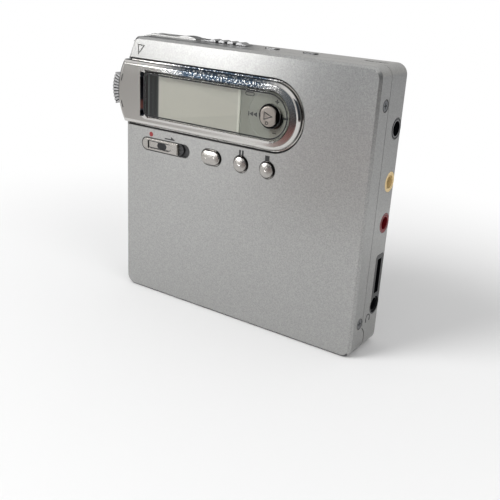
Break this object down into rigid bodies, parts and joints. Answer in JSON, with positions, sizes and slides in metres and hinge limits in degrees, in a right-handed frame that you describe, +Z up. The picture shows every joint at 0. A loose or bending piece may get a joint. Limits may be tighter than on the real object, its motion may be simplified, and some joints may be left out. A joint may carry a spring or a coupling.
{
  "type": "portable disc recorder",
  "caption": "Pocket disc recorder with a hinged front lid, a raised display block, push keys, sliders, a thumb lever and a disc drive mechanism inside.",
  "frame": {"origin": "centre of the body's footprint, on its bottom face", "axes": "+X to the right seen from the front, +Y into the body away from the display, +Z up to the edge with the slider"},
  "size_m": [0.0883, 0.0169, 0.0788],
  "materials": {
    "silver_paint": "fine silver paint, satin",
    "dark_plastic": "glass-filled frame plastic",
    "steel": "rolled sheet steel",
    "polished_steel": "ground and polished",
    "black_rubber": "moulded rubber",
    "board_green": "solder-masked board",
    "chip_black": "moulded black",
    "cell_blue": "shrink-wrapped",
    "cream_plastic": "moulded cream",
    "red_plastic": "moulded dark red",
    "jack_black": "moulded black, smooth",
    "gold": "gold-plated",
    "screw_steel": "zinc-plated",
    "film_amber": "polyimide film",
    "chrome_trim": "polished plating",
    "clear_window": "clear moulded window",
    "lcd_glass": "display glass",
    "white_plastic": "moulded white",
    "grey_plastic": "moulded warm grey",
    "satin_plate": "satin plating",
    "lens_glass": "coated lens",
    "brass_screw": "machined"
  },
  "bodies": {
    "base": {"rear_case": "silver_paint", "side_rails": "dark_plastic", "cross_bars": "dark_plastic", "hinge_brackets": "steel", "hinge_pins": "steel", "chassis_plate": "steel", "rubber_dampers": "black_rubber", "spindle_motor": "steel", "sled_motor": "steel", "guide_shafts": "polished_steel", "shaft_holders": "steel", "main_board": "board_green", "board_chips": "chip_black", "board_shield": "steel", "battery_cell": "cell_blue", "line_in_jack": "cream_plastic", "mic_jack": "red_plastic", "power_jack": "jack_black", "phones_jack": "jack_black", "contact_block": "jack_black", "charge_contacts": "gold", "case_screws": "screw_steel", "ribbon_tail": "film_amber", "top_rail": "silver_paint", "top_switches": "chip_black"},
    "lid": {"lid_panel": "silver_paint", "lid_frame": "steel", "display_bezel": "chrome_trim", "display_window": "clear_window", "lcd_panel": "lcd_glass", "lcd_backlight": "white_plastic", "dial_plate": "grey_plastic", "lid_board": "board_green", "switch_domes": "cream_plastic", "flex_ribbon": "film_amber", "lid_screws": "screw_steel"},
    "holder": {"disc_holder": "steel"},
    "opener": {"open_slider": "satin_plate", "latch_plate": "steel"},
    "rec_knob": {"slide_plate": "jack_black", "rec_slider": "satin_plate"},
    "group_key": {"group_button": "satin_plate"},
    "pause_key": {"pause_button": "satin_plate"},
    "stop_key": {"stop_button": "satin_plate"},
    "key_carrier": {"key_base": "chip_black"},
    "key_ring": {"key_gimbal": "steel"},
    "key_cap": {"key_stem": "chip_black", "control_key": "satin_plate"},
    "jog_slide": {"jog_carrier": "chip_black"},
    "jog": {"jog_lever": "satin_plate"},
    "hold_knob": {"hold_switch": "satin_plate"},
    "search_key": {"search_button": "satin_plate"},
    "mark_key": {"mark_button": "satin_plate"},
    "disc_drive": {"turntable": "steel"},
    "sled": {"pickup_sled": "dark_plastic", "objective_lens": "lens_glass", "head_bracket": "steel"},
    "arm": {"head_arm": "steel", "magnetic_head": "chip_black"},
    "screw": {"lead_screw": "brass_screw"}
  },
  "joints": [
    {"name": "lid_hinge", "type": "hinge", "parent": "base", "child": "lid", "pos_m": [0, -0.00415, 0.004], "axis": [1, 0, 0], "range_deg": [0, 30]},
    {"name": "holder_tilt", "type": "hinge", "parent": "base", "child": "holder", "pos_m": [0, 0.00085, 0.0085], "axis": [1, 0, 0], "range_deg": [0, 15]},
    {"name": "turntable_spin", "type": "hinge", "parent": "base", "child": "disc_drive", "pos_m": [0, 0.003, 0.041], "axis": [0, 1, 0], "continuous": true},
    {"name": "sled_slide", "type": "slide", "parent": "base", "child": "sled", "axis": [-1, 0, 0], "range_m": [0, 0.016]},
    {"name": "head_arm_lift", "type": "hinge", "parent": "sled", "child": "arm", "pos_m": [-0.0145, -0.00285, 0.00435], "axis": [1, 0, 0], "range_deg": [0, 15]},
    {"name": "lead_screw_turn", "type": "hinge", "parent": "base", "child": "screw", "pos_m": [-0.02, 0.00535, 0.0298], "axis": [1, 0, 0], "range_deg": [0, 2881]},
    {"name": "open_slide", "type": "slide", "parent": "base", "child": "opener", "axis": [1, 0, 0], "range_m": [0, 0.003], "stiffness_N_per_m": 300, "springref_m": -0.0005},
    {"name": "rec_slide", "type": "slide", "parent": "lid", "child": "rec_knob", "axis": [1, 0, 0], "range_m": [0, 0.0022], "stiffness_N_per_m": 300, "springref_m": -0.0002},
    {"name": "group_push", "type": "slide", "parent": "lid", "child": "group_key", "axis": [0, 1, 0], "range_m": [0, 0.00035], "stiffness_N_per_m": 300, "springref_m": -0.0002},
    {"name": "pause_push", "type": "slide", "parent": "lid", "child": "pause_key", "axis": [0, 1, 0], "range_m": [0, 0.00035], "stiffness_N_per_m": 300, "springref_m": -0.0002},
    {"name": "stop_push", "type": "slide", "parent": "lid", "child": "stop_key", "axis": [0, 1, 0], "range_m": [0, 0.00035], "stiffness_N_per_m": 300, "springref_m": -0.0002},
    {"name": "key_push", "type": "slide", "parent": "lid", "child": "key_carrier", "axis": [0, 1, 0], "range_m": [0, 0.0003], "stiffness_N_per_m": 300, "springref_m": -0.0002},
    {"name": "key_tilt_up", "type": "hinge", "parent": "key_carrier", "child": "key_ring", "pos_m": [0.0106, -0.0061, 0.062], "axis": [1, 0, 0], "range_deg": [-3, 3], "stiffness_Nm_per_rad": 0.02},
    {"name": "key_tilt_side", "type": "hinge", "parent": "key_ring", "child": "key_cap", "pos_m": [0.0106, -0.0061, 0.062], "axis": [0, 0, 1], "range_deg": [-3, 3], "stiffness_Nm_per_rad": 0.02},
    {"name": "jog_push", "type": "slide", "parent": "lid", "child": "jog_slide", "axis": [1, 0, 0], "range_m": [0, 0.0005], "stiffness_N_per_m": 300, "springref_m": -0.0002},
    {"name": "jog_tilt", "type": "hinge", "parent": "jog_slide", "child": "jog", "pos_m": [-0.038, -0.00595, 0.062], "axis": [0, 1, 0], "range_deg": [-8, 8], "stiffness_Nm_per_rad": 0.02},
    {"name": "hold_slide", "type": "slide", "parent": "base", "child": "hold_knob", "axis": [-1, 0, 0], "range_m": [0, 0.002]},
    {"name": "search_push", "type": "slide", "parent": "base", "child": "search_key", "axis": [0, 0, -1], "range_m": [0, 0.0003], "stiffness_N_per_m": 300, "springref_m": -0.0002},
    {"name": "mark_push", "type": "slide", "parent": "base", "child": "mark_key", "axis": [0, 0, -1], "range_m": [0, 0.0003], "stiffness_N_per_m": 300, "springref_m": -0.0002}
  ],
  "couplings": [
    {"joint": "holder_tilt", "follows": "lid_hinge", "ratio": 0.5},
    {"joint": "head_arm_lift", "follows": "lid_hinge", "ratio": 0.5},
    {"joint": "lead_screw_turn", "follows": "sled_slide", "rad_per_m": 3141.6}
  ]
}
